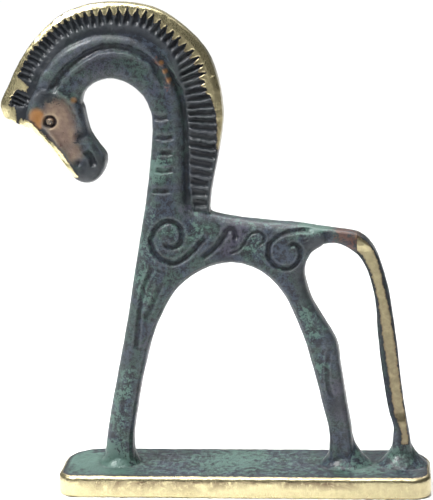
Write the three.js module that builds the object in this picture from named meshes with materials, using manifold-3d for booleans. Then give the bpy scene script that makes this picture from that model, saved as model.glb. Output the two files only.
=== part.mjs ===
// Cast bronze horse in the geometric style, standing on its own plinth.
// Horse, mane, tail and plinth are one casting, flat like a thick plate and carved on both faces.
// Millimetres. The origin is the centre of the plinth's underside, +Z is up and +X points to the tail.
// The face seen from -Y is the main one. The other face repeats its carving without the small marks.
import * as THREE from 'three';
import { mergeVertices } from 'three/addons/utils/BufferGeometryUtils.js';
import Module from 'manifold-3d';

const wasm = await Module();
wasm.setup();

// Driving dimensions
// Filed is what the file has taken off a plate's outline all round.
const PLINTH = { length: 95.4, width: 25, height: 5.6, frontCorner: 5, backCorner: 10, edge: 1.4 };
const BODY = { thickness: 8.2, edge: 1.8, filed: 0.15 };
const HEAD = { thickness: 9.0, edge: 2.2, filed: 0.15 };
const MANE = { thickness: 5.8, edge: 1.3, filed: 0 };
const TAIL = { thickness: 5.6, edge: 1.1, filed: 0.05 };
const SUNK = 1.2;
const EDGE_STEPS = 2;
const SECTION_SIDES = 6;

// Carving
const FLUTE = { pitch: 2.25, width: 1.35, depth: 1.0, rim: 2.1, taper: 0.55 };
const NECK_GROOVE = { radius: 0.95, steps: 34 };
const BAR = { length: 3.8, width: 1.0, depth: 0.9, heights: [77.4, 82.7, 87.1, 90.9, 95.8], middle: -19.4 };
const SPIRAL = { radius: 0.75, steps: 30 };
const STROKE = { radius: 0.62, steps: 12 };
const EYE = { x: -47.4, z: 95.9, ring: 1.55, groove: 0.42, ball: 1.25 };

const FOOT_LEVEL = PLINTH.height - SUNK;

const flat = (pairs) => pairs.map(([x, z]) => new THREE.Vector2(x, z));

// Evenly spaced points on a smooth line through a few places.
function through(pairs, count) {
  return new THREE.SplineCurve(flat(pairs)).getSpacedPoints(count);
}

// Joins stretches end to end and leaves out a point that repeats the one before it.
function outline(...stretches) {
  const points = stretches.flat();
  return points.filter((point, i) => point.distanceTo(points.at(i - 1)) > 0.05);
}

function solid(geometry) {
  geometry.deleteAttribute('normal');
  geometry.deleteAttribute('uv');
  const merged = mergeVertices(geometry);
  return new wasm.Manifold(new wasm.Mesh({
    numProp: 3,
    vertProperties: new Float32Array(merged.attributes.position.array),
    triVerts: new Uint32Array(merged.index.array),
  }));
}

const joined = (solids) => solids.reduce((whole, next) => whole.add(next));

// A plate of the given outline in X and Z, centred on Y = 0, with rounded edges.
function plate(points, { thickness, edge, filed }) {
  const geometry = new THREE.ExtrudeGeometry(new THREE.Shape(points), {
    depth: thickness - 2 * edge,
    bevelThickness: edge,
    bevelSize: edge,
    bevelOffset: -edge - filed,
    bevelSegments: EDGE_STEPS,
    curveSegments: 1,
  });
  geometry.translate(0, 0, edge - thickness / 2);
  geometry.rotateX(Math.PI / 2);
  return solid(geometry);
}

// Foreleg, neck, trunk and hind leg in one outline, from the front foot round to the belly.
const FRONT_OF_LEG = [[-37, FOOT_LEVEL], [-34.9, 18.5], [-30.2, 41], [-26.8, 60], [-23.7, 77.1],
  [-22, 90.9], [-21.9, 97]];
const INSIDE_OF_NECK = [[-21.9, 97], [-23.8, 101.5], [-27.1, 104.6], [-31.8, 106.3], [-35.9, 105.3],
  [-38.8, 102.8], [-39.6, 100.2]];
const POLL = [[-44, 98.5], [-49.5, 100.5], [-51, 105]];
const FLUTE_ROOTS = [[-49.8, 108], [-45.7, 112.3], [-41.3, 115.3], [-35.9, 117.2], [-30.5, 117.5],
  [-24.9, 116.2], [-19.8, 112.6], [-16.5, 107.3], [-14.8, 101.5], [-14.2, 95], [-14.2, 81], [-14, 76]];
const BACK = [[-12.9, 73.4], [-8, 72], [-4.3, 71], [3.7, 69.8], [13.8, 68.9], [18, 68.4],
  [20.6, 67.3], [21.5, 65.5], [20.6, 63.7], [19, 62.7]];
const BACK_OF_LEG = [[17.6, 61.7], [16.1, 58.6], [16, 54.6], [17.9, 48.6],
  [22.2, 41.4], [24.1, 37.4], [24.9, 31.6], [26.3, 22.1], [27.4, 15], [28.2, FOOT_LEVEL]];
const ARCH = [[21.2, FOOT_LEVEL], [21.7, 14], [20, 22], [17.7, 31.6], [14.9, 41.1], [10.7, 50.6],
  [5.6, 56.4], [-1.5, 59.1], [-9, 57.8], [-16.7, 52.2], [-22.3, 42], [-25.4, 31.5], [-27.4, 21.8],
  [-28.9, 12.1], [-28.4, FOOT_LEVEL]];

const bodyOutline = outline(
  through(FRONT_OF_LEG, 14),
  through(INSIDE_OF_NECK, 14),
  flat(POLL),
  through(FLUTE_ROOTS, 26),
  through(BACK, 16),
  through(BACK_OF_LEG, 24),
  through(ARCH, 34),
);

// The crest of the mane, from the tip of the forelock over the top and down to the withers.
const CREST = [[-59.2, 96.8], [-60, 100.1], [-57.8, 104.9], [-54.7, 110.9], [-50.2, 116.9],
  [-44.6, 121.8], [-38.1, 124.4], [-31.4, 125.2], [-25.1, 124.7], [-19.2, 122.8], [-12.5, 118],
  [-7.6, 112], [-5, 104.5], [-4.2, 96.3], [-5.4, 87.8], [-7.3, 78.6], [-7.9, 74.4], [-7.9, 71]];
const UNDER_MANE = [[-15, 73], [-16, 95], [-19, 104.5], [-25, 110.5], [-31, 112.3], [-38, 110.4],
  [-43, 104], [-46, 97], [-50, 93.2], [-54.5, 94.5]];

const crestOutline = outline(through(CREST, 46), through(UNDER_MANE, 14));

// The head, cheek and muzzle, a little thicker than the neck.
const FACE = [[-54, 95.3], [-51.7, 93], [-48, 89.4], [-45.4, 86.3], [-43.3, 83], [-41.6, 80.9],
  [-39, 79.9], [-36.3, 80.6], [-34.4, 83], [-33.8, 86.4], [-35.8, 89.4], [-37.7, 92.5], [-38.6, 96],
  [-39.3, 99.2], [-41, 101.8], [-44, 103.6], [-48, 104.4], [-51.2, 103.4], [-53.2, 100]];

const headOutline = outline(through([...FACE, FACE[0]], 40));

// The tail bar, from the croup down to the plinth and back up its inner side.
const TAIL_OUTER = [[17, 68.3], [23.5, 67.5], [27.9, 66.9], [30.6, 65.8], [33.2, 62.9], [35.2, 58.4],
  [36.9, 52.1], [37.9, 45.9], [39, 38], [40, 28.5], [41.1, 20.5], [42.4, 12.5], [43.2, FOOT_LEVEL]];
const TAIL_INNER = [[37.6, FOOT_LEVEL], [37.9, 12], [38.2, 15.7], [36.9, 20.5], [35.6, 28.5],
  [34.4, 38], [33.6, 49], [32.3, 55.2], [30.2, 59.9], [26.8, 63], [23.3, 64.2], [19.8, 63.7],
  [16, 63.9]];

const tailOutline = outline(through(TAIL_OUTER, 20), through(TAIL_INNER, 20));

// A rounded rectangle with a worn upper edge and a flat underside.
function plinth() {
  const { length, width, height, frontCorner, backCorner, edge } = PLINTH;
  const corners = [[1, 1, backCorner], [-1, 1, backCorner], [-1, -1, frontCorner], [1, -1, frontCorner]];
  const points = corners.flatMap(([sideX, sideY, radius], quarter) => new THREE.EllipseCurve(
    sideX * (length / 2 - radius), sideY * (width / 2 - radius),
    radius, radius, quarter * Math.PI / 2, (quarter + 1) * Math.PI / 2,
  ).getPoints(7));
  const slab = new THREE.ExtrudeGeometry(new THREE.Shape(points), {
    depth: height,
    bevelThickness: edge,
    bevelSize: edge,
    bevelOffset: -edge,
    bevelSegments: 3,
    curveSegments: 1,
  });
  slab.translate(0, 0, -edge);
  const below = new THREE.BoxGeometry(2 * length, 2 * width, 2 * height);
  below.translate(0, 0, -height);
  return solid(slab).subtract(solid(below));
}

// The concave spread of metal where a foot runs out into the plinth, from the half-width of the
// leg above to that of the foot below. It leans with the leg, and depth is its width in Y over that in X.
function flare({ x, leg, foot, height, lean, depth }) {
  const rings = 5;
  const curve = [...Array(rings + 1).keys()].map((i) => {
    const up = i / rings;
    return [leg + (foot - leg) * (1 - up) ** 2.2, up * height];
  });
  const profile = [[0, -SUNK], [foot, -SUNK], ...curve, [0, height]];
  const spread = new THREE.LatheGeometry(flat(profile), 14);
  spread.rotateX(Math.PI / 2);
  spread.scale(1, depth, 1);
  spread.applyMatrix4(new THREE.Matrix4().makeShear(0, 0, 0, 0, lean / height, 0));
  spread.translate(x, 0, PLINTH.height);
  return solid(spread);
}

const FLARES = [
  { x: -32.6, leg: 3, foot: 5.6, height: 6.5, lean: 0.9, depth: 1.08 },
  { x: 26, leg: 2.5, foot: 6.8, height: 9, lean: -1, depth: 0.95 },
  { x: 40.5, leg: 1.8, foot: 6.6, height: 9, lean: -0.3, depth: 0.9 },
];

// A round-bottomed channel along a line on the face at the given Y.
function channel(pairs, y, { radius, steps }) {
  const section = new THREE.Shape(new THREE.EllipseCurve(0, 0, radius, radius)
    .getPoints(SECTION_SIDES).slice(0, SECTION_SIDES));
  const path = new THREE.CatmullRomCurve3(pairs.map(([x, z]) => new THREE.Vector3(x, y, z)));
  return solid(new THREE.ExtrudeGeometry(section, { steps, extrudePath: path, bevelEnabled: false }));
}

// A V-shaped cut from one place to another on the face at the given Y, narrower at its far end.
function notch(from, to, y, { width, depth, taper }) {
  const run = new THREE.Vector3(to.x - from.x, 0, to.y - from.y);
  const cut = new THREE.CylinderGeometry(taper * width / 2, width / 2, run.length(), 4);
  cut.scale(1, 1, 2 * depth / width);
  cut.rotateX(Math.PI / 2);
  const upright = new THREE.Vector3(0, 1, 0);
  const across = new THREE.Vector3().crossVectors(upright, run).normalize();
  cut.applyMatrix4(new THREE.Matrix4().makeBasis(across, upright, run.clone().normalize()));
  cut.translate((from.x + to.x) / 2, y, (from.y + to.y) / 2);
  return solid(cut);
}

// The mane's flutes, square to the crest, shorter towards both ends of the mane.
function flutes(y) {
  const crest = new THREE.SplineCurve(flat(CREST));
  const count = Math.floor(crest.getLength() / FLUTE.pitch);
  const bareTooth = 6;
  const numbers = [...Array(count).keys()].slice(2, -2).filter((i) => i !== bareTooth);
  return numbers.map((i) => {
    const along = i / count;
    const edge = crest.getPointAt(along);
    const tangent = crest.getTangentAt(along);
    const inward = new THREE.Vector2(tangent.y, -tangent.x);
    const rim = FLUTE.rim * (1 - 0.85 * THREE.MathUtils.smoothstep(along, 0.62, 0.95));
    const root = 8.2 - 1.9 * THREE.MathUtils.smoothstep(1 - along, 0.7, 1)
      - 4.2 * THREE.MathUtils.smoothstep(along, 0.74, 1);
    const outer = edge.clone().addScaledVector(inward, rim);
    return notch(outer, edge.clone().addScaledVector(inward, root), y, FLUTE);
  });
}

const NECK_GROOVE_LINE = [[-48.6, 105.4], [-46.3, 108.2], [-42.7, 111.1], [-38.3, 113.5], [-32.5, 114.8],
  [-27, 114.2], [-21.5, 111], [-17.6, 106], [-15.2, 99], [-14.8, 88], [-15, 75]];

// A curl that winds out from its eye and runs on along a tail. Turn is 1 for a curl that unwinds
// anticlockwise as seen from the main face, and -1 for the other way.
function curl({ x, z, inner, outer, start, turn, tail }) {
  const sweep = 2 * Math.PI;
  const turns = 12;
  const spiral = [...Array(turns + 1).keys()].map((i) => {
    const angle = start + turn * sweep * i / turns;
    const radius = inner + (outer - inner) * i / turns;
    return [x + radius * Math.cos(angle), z + radius * Math.sin(angle)];
  });
  return [...spiral, ...tail];
}

const SHOULDER = { x: -18.3, z: 65, inner: 1.6, outer: 5.4, start: -Math.PI / 2, turn: 1,
  tail: [[-14.6, 60.5], [-11.6, 63], [-8.5, 66.6]] };
const RUMP = { x: 11.2, z: 62.5, inner: 1.4, outer: 4.9, start: 0.4 * Math.PI, turn: -1,
  tail: [[15.4, 67.2], [18.4, 67.3]] };

// One crest of the running wave between the two curls.
const WAVE = [[0, 0], [3.3, 2.7], [5.3, 5.2], [6.6, 7.2], [8, 7.1], [8.4, 5.6], [7.6, 4.1]];
const WAVE_STARTS = [[-9.9, 60.7], [-2.9, 60.9]];

const LEAF = [[[-22.4, 58.3], [-24.4, 54.4], [-25.6, 49.8], [-26.3, 44.8]],
  [[-20.6, 55.4], [-21.4, 52], [-22.6, 49], [-24.4, 46]]];
const TENDON = [[22.6, 38.4], [21.5, 34.5], [21.7, 29], [22.8, 24.5]];

function ball(x, y, z, radius) {
  const sphere = new THREE.SphereGeometry(radius, 10, 6);
  sphere.translate(x, y, z);
  return solid(sphere);
}

function eyeRing(y) {
  const ring = new THREE.TorusGeometry(EYE.ring, EYE.groove, 5, 14);
  ring.rotateX(Math.PI / 2);
  ring.translate(EYE.x, y, EYE.z);
  return solid(ring);
}

// Everything cut into one face. Side is -1 for the main face and 1 for the other.
function carving(side) {
  const body = side * BODY.thickness / 2;
  const head = side * HEAD.thickness / 2;
  const mane = side * MANE.thickness / 2;
  const bars = BAR.heights.map((z) => notch(
    new THREE.Vector2(BAR.middle - BAR.length / 2, z),
    new THREE.Vector2(BAR.middle + BAR.length / 2, z),
    body,
    { width: BAR.width, depth: BAR.depth, taper: 1 },
  ));
  const cuts = [
    ...flutes(mane),
    ...bars,
    channel(NECK_GROOVE_LINE, body, NECK_GROOVE),
    channel(curl(SHOULDER), body, SPIRAL),
    channel(curl(RUMP), body, SPIRAL),
    eyeRing(head),
    ball(-40.3, head, 85.3, 0.9),
    ball(-39.6, head + side * 0.3, 92.3, 1.3),
    notch(new THREE.Vector2(-34.4, 85.1), new THREE.Vector2(-38.6, 87.4), head,
      { width: 1.2, depth: 1.3, taper: 0.5 }),
  ];
  const waves = WAVE_STARTS.map(([x, z]) => channel(
    WAVE.map(([dx, dz]) => [x + dx, z + dz]), body, STROKE));
  const smallMarks = [...LEAF, TENDON].map((line) => channel(line, body, STROKE));
  return joined(side < 0 ? [...cuts, ...waves, ...smallMarks] : [...cuts, ...waves]);
}

function geometricHorse() {
  const casting = joined([
    plate(bodyOutline, BODY),
    plate(crestOutline, MANE),
    plate(headOutline, HEAD),
    plate(tailOutline, TAIL),
    plinth(),
    ...FLARES.map(flare),
  ]);
  const eyes = [-1, 1].map((side) => ball(EYE.x, side * (HEAD.thickness / 2 - 0.9), EYE.z, EYE.ball));
  return joined([casting.subtract(carving(-1)).subtract(carving(1)), ...eyes]);
}

// Mottled green and grey patina with the brass showing through where the casting is rubbed.
const patinatedBronze = new THREE.MeshStandardMaterial({ color: 0x4e615d, roughness: 0.5, metalness: 0.8 });

const { vertProperties, triVerts } = geometricHorse().getMesh();
const surface = new THREE.BufferGeometry();
surface.setAttribute('position', new THREE.BufferAttribute(new Float32Array(vertProperties), 3));
surface.setIndex([...triVerts]);
surface.computeVertexNormals();

const horse = new THREE.Mesh(surface, patinatedBronze);
horse.name = 'geometric_horse';

const part = new THREE.Group();
part.add(horse);

export default part;
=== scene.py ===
"""Looks of a cast bronze horse in the geometric style, standing on its own plinth.

The horse and its plinth are one casting. Its forms are built one by one, run together as metal
runs together in a mould, chased with the mane's flutes and the curls, ground bright where the
real one is ground, and given a mottled green and grey patina. Sizes are in millimetres and are
turned to metres where Blender takes them. +X points to the tail and the main face looks to -Y.
"""
import logging
import math
from collections.abc import Callable
from dataclasses import dataclass, field
from enum import Enum

import bmesh
import bpy
import numpy as np
from mathutils import Matrix, Vector


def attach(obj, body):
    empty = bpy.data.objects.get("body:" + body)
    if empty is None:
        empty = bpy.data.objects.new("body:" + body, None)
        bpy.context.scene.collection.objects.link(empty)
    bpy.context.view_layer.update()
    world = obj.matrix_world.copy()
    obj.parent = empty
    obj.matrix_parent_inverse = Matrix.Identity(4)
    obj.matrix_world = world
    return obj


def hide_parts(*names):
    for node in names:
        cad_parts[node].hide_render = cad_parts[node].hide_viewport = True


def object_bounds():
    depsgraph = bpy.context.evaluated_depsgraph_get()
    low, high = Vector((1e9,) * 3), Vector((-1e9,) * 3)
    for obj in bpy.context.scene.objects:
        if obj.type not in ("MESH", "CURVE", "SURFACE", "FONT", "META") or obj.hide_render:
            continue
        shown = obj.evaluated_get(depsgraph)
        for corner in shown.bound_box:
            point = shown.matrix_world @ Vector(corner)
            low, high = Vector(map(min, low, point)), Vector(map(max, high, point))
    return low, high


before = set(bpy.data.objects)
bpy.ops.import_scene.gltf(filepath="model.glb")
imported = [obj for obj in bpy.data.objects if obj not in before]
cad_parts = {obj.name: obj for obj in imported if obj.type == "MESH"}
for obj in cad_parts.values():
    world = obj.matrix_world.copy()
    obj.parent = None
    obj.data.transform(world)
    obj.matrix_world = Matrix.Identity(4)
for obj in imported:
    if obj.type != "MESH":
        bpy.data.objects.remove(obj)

CAD_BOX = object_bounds()
MM = 0.001
NODE = "geometric_horse"
SLOT = "patinated_bronze"
LOG = logging.getLogger("horse")
STEPS_BETWEEN_PLACES = 24
SAME_PLACE = 0.05

Place = tuple[float, float]
Places = tuple[Place, ...]


class Face(Enum):
    """The two broad faces of the casting, by the sign of Y."""

    MAIN = -1.0
    OTHER = 1.0


class Tint(Enum):
    """What a patch of the patina has more of than the metal around it. The dark tint also carries painted
    shade, and the amber tint painted highlights.
    """

    VERDIGRIS = "verdigris"
    VIOLET = "violet"
    SOOT_AND_SHADE = "soot_and_shade"
    COPPER = "copper"
    AMBER_AND_GLINT = "amber_and_glint"
    BLUSH = "blush"


def smooth_line(places: Places, count: int) -> np.ndarray:
    """Runs a smooth line through a few places.

    Args:
        places: the X and Z of each place, in millimetres.
        count: how many evenly spaced points to give.

    Returns:
        An array of count points.
    """
    knots = np.array(places, float)
    padded = np.vstack([2 * knots[0] - knots[1], knots, 2 * knots[-1] - knots[-2]])
    t = np.linspace(0, 1, STEPS_BETWEEN_PLACES, endpoint=False)[:, None]
    stretches = []
    for a, b, c, d in zip(padded, padded[1:], padded[2:], padded[3:]):
        stretches.append(0.5 * (2 * b + (c - a) * t + (2 * a - 5 * b + 4 * c - d) * t ** 2
                                + (3 * b - a - 3 * c + d) * t ** 3))
    fine = np.vstack([*stretches, knots[-1:]])
    length = np.concatenate([[0], np.cumsum(np.linalg.norm(np.diff(fine, axis=0), axis=1))])
    even = np.linspace(0, length[-1], count)
    return np.column_stack([np.interp(even, length, fine[:, 0]), np.interp(even, length, fine[:, 1])])


def ease(value: np.ndarray, low: float, high: float) -> np.ndarray:
    """Rises smoothly from 0 at low to 1 at high."""
    t = np.clip((value - low) / (high - low), 0, 1)
    return t * t * (3 - 2 * t)


@dataclass(frozen=True)
class Profile:
    """A value that changes in straight steps along a line, a length or a height."""

    places: tuple[float, ...]
    values: tuple[float, ...]

    def at(self, places: np.ndarray | float) -> np.ndarray:
        """Gives the value at each place."""
        return np.interp(places, self.places, self.values)


def wander(points: np.ndarray, size: float) -> np.ndarray:
    """Shifts points by a small unevenness, so that lines cut by hand aren't ruler-straight."""
    x, z = points.T
    shift_x = np.sin(1.9 * z + 0.7 * x) + 0.6 * np.sin(4.3 * z - 2.1 * x + 1.3)
    shift_z = np.sin(1.7 * x - 0.9 * z + 2.2) + 0.6 * np.sin(3.9 * x + 2.7 * z)
    return points + size * np.column_stack([shift_x, shift_z])


def nearest_on_line(line: np.ndarray, points: np.ndarray) -> tuple[np.ndarray, np.ndarray, np.ndarray]:
    """Finds each point's nearest place on a line of straight steps.

    Args:
        line: the line's points, in millimetres.
        points: the points to measure from.

    Returns:
        The distance, the length along the line, and the side: above 0 on the left, below 0 on the right.
    """
    start, step = line[:-1], np.diff(line, axis=0)
    size = np.linalg.norm(step, axis=1)
    before = np.concatenate([[0], np.cumsum(size)[:-1]])
    distance, along, side = (np.empty(len(points)) for _ in range(3))
    chunk = 20000
    for first in range(0, len(points), chunk):
        some = points[first:first + chunk, None, :] - start[None]
        t = np.clip((some * step).sum(2) / size ** 2, 0, 1)
        gap = some - t[..., None] * step
        reach = np.hypot(gap[..., 0], gap[..., 1])
        best = reach.argmin(1)
        rows = np.arange(len(best))
        part = slice(first, first + chunk)
        distance[part] = reach[rows, best]
        along[part] = before[best] + t[rows, best] * size[best]
        offset = some[rows, best]
        side[part] = step[best, 0] * offset[:, 1] - step[best, 1] * offset[:, 0]
    return distance, along, side


def select_nothing() -> None:
    """Leaves every object unselected, the CAD node among them."""
    bpy.ops.object.select_all(action="DESELECT")


def select_edges(test: Callable[[bmesh.types.BMEdge], bool]) -> None:
    """Selects, in edit mode, the edges that pass a test and no others."""
    bpy.ops.mesh.select_mode(type="EDGE")
    mesh = bmesh.from_edit_mesh(bpy.context.object.data)
    for edge in mesh.edges:
        edge.select_set(test(edge))
    mesh.select_flush_mode()
    bmesh.update_edit_mesh(bpy.context.object.data)


def close_and_face_out() -> None:
    """Makes every face of the mesh in edit mode point outwards, and leaves edit mode."""
    bpy.ops.mesh.select_all(action="SELECT")
    bpy.ops.mesh.normals_make_consistent(inside=False)
    bpy.ops.object.mode_set(mode="OBJECT")


def select_only(piece: bpy.types.Object) -> None:
    """Selects one piece, makes it the active one and leaves all others unselected."""
    select_nothing()
    piece.select_set(True)
    bpy.context.view_layer.objects.active = piece


def apply_modifier(piece: bpy.types.Object, kind: str, **settings: object) -> None:
    """Adds one modifier to a piece, sets it and applies it."""
    select_only(piece)
    modifier = piece.modifiers.new(kind.title(), kind)
    for name, value in settings.items():
        setattr(modifier, name, value)
    bpy.ops.object.modifier_apply(modifier=modifier.name)


def read_mesh(piece: bpy.types.Object) -> tuple[np.ndarray, np.ndarray]:
    """Reads a piece's vertices in millimetres, and their normals."""
    count = len(piece.data.vertices)
    spots, normals = np.empty(count * 3), np.empty(count * 3)
    piece.data.vertices.foreach_get("co", spots)
    piece.data.vertices.foreach_get("normal", normals)
    return spots.reshape(-1, 3) / MM, normals.reshape(-1, 3)


def write_mesh(piece: bpy.types.Object, spots: np.ndarray) -> None:
    """Moves a piece's vertices to spots given in millimetres."""
    piece.data.vertices.foreach_set("co", (spots * MM).ravel())
    piece.data.update()


def write_mask(piece: bpy.types.Object, name: str, values: np.ndarray) -> None:
    """Keeps one number for each vertex of a piece, for its material to read."""
    mask = piece.data.attributes.new(name, "FLOAT", "POINT")
    mask.data.foreach_set("value", values.astype(np.float32))


@dataclass
class Plate:
    """A flat form of the casting: an outline in X and Z with rounded edges, centred on Y = 0."""

    name: str
    stretches: tuple[tuple[Places, int], ...]
    thickness: float
    edge: float
    edge_steps: int = 4

    def outline(self) -> np.ndarray:
        """Joins the stretches end to end, without points that repeat."""
        points = np.vstack([smooth_line(places, count) for places, count in self.stretches])
        keep = np.linalg.norm(points - np.roll(points, 1, axis=0), axis=1) > SAME_PLACE
        return points[keep]

    def build(self) -> bpy.types.Object:
        """Draws the outline as one face, extrudes it through and rounds both rims."""
        points = self.outline()
        select_nothing()
        bpy.ops.mesh.primitive_circle_add(vertices=len(points), radius=MM, fill_type="NGON")
        plate = bpy.context.object
        plate.name = self.name
        for vertex, (x, z) in zip(plate.data.vertices, points):
            vertex.co = Vector((x, -self.thickness / 2, z)) * MM
        bpy.ops.object.mode_set(mode="EDIT")
        bpy.ops.mesh.select_all(action="SELECT")
        bpy.ops.mesh.extrude_region_move(
            TRANSFORM_OT_translate={"value": (0, self.thickness * MM, 0)})
        select_edges(lambda edge: abs(edge.verts[0].co.y - edge.verts[1].co.y) < 0.1 * MM)
        bpy.ops.mesh.bevel(offset=self.edge * MM, segments=self.edge_steps, clamp_overlap=False)
        close_and_face_out()
        return plate


BODY_STRETCHES = (
    (((-37, 4.6), (-34.9, 18.5), (-30.2, 41), (-26.8, 60), (-23.7, 77.1), (-22, 90.9), (-21.9, 97)), 30),
    (((-21.9, 97), (-23.8, 101.5), (-27.1, 104.6), (-31.8, 106.3), (-35.9, 105.3), (-38.8, 102.8),
      (-39.6, 100.2)), 24),
    (((-44, 98.5), (-49.5, 100.5), (-51, 105)), 5),
    (((-49.8, 108), (-45.7, 112.3), (-41.3, 115.3), (-35.9, 117.2), (-30.5, 117.5), (-24.9, 116.2),
      (-19.8, 112.6), (-16.5, 107.3), (-14.8, 101.5), (-14.2, 95), (-14.2, 81), (-14, 76)), 50),
    (((-12.9, 73.4), (-8, 72), (-4.3, 71), (3.7, 69.8), (13.8, 68.9), (18, 68.4), (20.6, 67.3),
      (21.5, 65.5), (20.6, 63.7), (19, 62.7)), 32),
    (((17.6, 61.7), (16.1, 58.6), (16, 54.6), (17.9, 48.6), (22.2, 41.4), (24.1, 37.4), (24.9, 31.6),
      (26.3, 22.1), (27.4, 15), (28.2, 4.6)), 44),
    (((21.2, 4.6), (21.7, 14), (20, 22), (17.7, 31.6), (14.9, 41.1), (10.7, 50.6), (5.6, 56.4),
      (-1.5, 59.1), (-9, 57.8), (-16.7, 52.2), (-22.3, 42), (-25.4, 31.5), (-27.4, 21.8),
      (-28.9, 12.1), (-28.4, 4.6)), 70),
)
CREST: Places = (
    (-59.2, 96.8), (-60, 100.1), (-57.8, 104.9), (-54.7, 110.9), (-50.2, 116.9), (-44.6, 121.8),
    (-38.1, 124.4), (-31.4, 125.1), (-25.1, 124.6), (-19.2, 122.8), (-12.5, 118), (-7.6, 112),
    (-5, 104.5), (-4.2, 96.3), (-5.4, 87.8), (-7.3, 78.6), (-7.9, 74.4), (-7.9, 71))
UNDER_MANE: Places = (
    (-15, 73), (-16, 95), (-19, 104.5), (-25, 110.5), (-31, 112.3), (-38, 110.4), (-43, 104),
    (-46, 97), (-50, 93.2), (-54.5, 94.5))
HEAD_LINE: Places = (
    (-54, 95.3), (-51.7, 93), (-48, 89.4), (-45.4, 86.3), (-43.3, 83), (-41.6, 80.9), (-39, 79.9),
    (-36.3, 80.6), (-34.4, 83), (-33.8, 86.4), (-35.8, 89.4), (-37.7, 92.5), (-38.6, 96),
    (-39.3, 99.2), (-41, 101.8), (-44, 103.6), (-48, 104.4), (-51.2, 103.4), (-53.2, 100),
    (-54, 95.3))
NOSE_LINE: Places = HEAD_LINE[:6]
TAIL_OUTER: Places = (
    (17, 68.3), (23.5, 67.5), (27.9, 66.9), (30.6, 65.8), (33.2, 62.9), (35.2, 58.4), (36.9, 52.1),
    (37.9, 45.9), (39, 38), (40, 28.5), (41.1, 20.5), (42.4, 12.5), (43.2, 4.6))
TAIL_INNER: Places = (
    (37.6, 4.6), (37.9, 12), (38.2, 15.7), (36.9, 20.5), (35.6, 28.5), (34.4, 38), (33.6, 49),
    (32.3, 55.2), (30.2, 59.9), (26.8, 63), (23.3, 64.2), (19.8, 63.7), (16, 63.9))

BODY = Plate("body", BODY_STRETCHES, thickness=8.2, edge=2.3)
MANE_PLATE = Plate("mane", ((CREST, 110), (UNDER_MANE, 30)), thickness=5.8, edge=0.5)
HEAD = Plate("head", ((HEAD_LINE, 80),), thickness=9.0, edge=2.2)
TAIL_PLATE = Plate("tail", ((TAIL_OUTER, 50), (TAIL_INNER, 50)), thickness=5.6, edge=0.8)


@dataclass
class Plinth:
    """The block under the feet, with softer corners at the back and ground upright sides."""

    length: float = 95.4
    width: float = 25.0
    height: float = 5.6
    front_corner: float = 5.0
    back_corner: float = 10.0
    top_edge: float = 1.4
    bottom_edge: float = 0.5
    corner_steps: int = 12
    edge_steps: int = 5
    ground_side: float = 0.05
    ground_end: float = 0.06
    # The bared brass grows darker and more olive towards the right end: partly tarnish, partly painted
    # shade on the side away from the key light.
    tarnish: Profile = Profile((-47, 10, 47), (0.32, 0.38, 0.68))
    tide_height: float = 4.25
    tide_width: Profile = Profile((-47, -20, 5, 22, 34), (0.25, 0.3, 0.42, 0.6, 0.15))

    def build(self) -> bpy.types.Object:
        """Starts from a box, rounds its upright edges and then both of its rims."""
        select_nothing()
        bpy.ops.mesh.primitive_cube_add(size=1)
        block = bpy.context.object
        block.name = "plinth"
        for vertex in block.data.vertices:
            x, y, z = vertex.co
            vertex.co = Vector((x * self.length, y * self.width, (z + 0.5) * self.height)) * MM
        bpy.ops.object.mode_set(mode="EDIT")
        for side, radius in ((-1, self.front_corner), (1, self.back_corner)):
            select_edges(lambda edge: self._upright(edge) and edge.verts[0].co.y * side > 0
                         and abs(edge.verts[0].co.x) > (self.length / 2 - 0.1) * MM)
            bpy.ops.mesh.bevel(offset=radius * MM, segments=self.corner_steps, clamp_overlap=False)
        for level, radius in ((self.height, self.top_edge), (0, self.bottom_edge)):
            select_edges(lambda edge: all(abs(v.co.z - level * MM) < 0.01 * MM for v in edge.verts))
            bpy.ops.mesh.bevel(offset=radius * MM, segments=self.edge_steps, clamp_overlap=False)
        close_and_face_out()
        return block

    @staticmethod
    def _upright(edge: bmesh.types.BMEdge) -> bool:
        """Tells whether an edge stands upright."""
        low, high = (vertex.co for vertex in edge.verts)
        return abs(low.x - high.x) < 0.01 * MM and abs(low.y - high.y) < 0.01 * MM

    def inset(self, spots: np.ndarray) -> np.ndarray:
        """Gives how far each spot lies inside the block's upright wall, seen from above."""
        x, y = np.abs(spots[:, 0]), spots[:, 1]
        corner = np.where(y < 0, self.front_corner, self.back_corner)
        over_x = x - (self.length / 2 - corner)
        over_y = np.abs(y) - (self.width / 2 - corner)
        rounded = np.hypot(np.maximum(over_x, 0), np.maximum(over_y, 0))
        return corner - rounded - np.minimum(np.maximum(over_x, over_y), 0)


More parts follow.
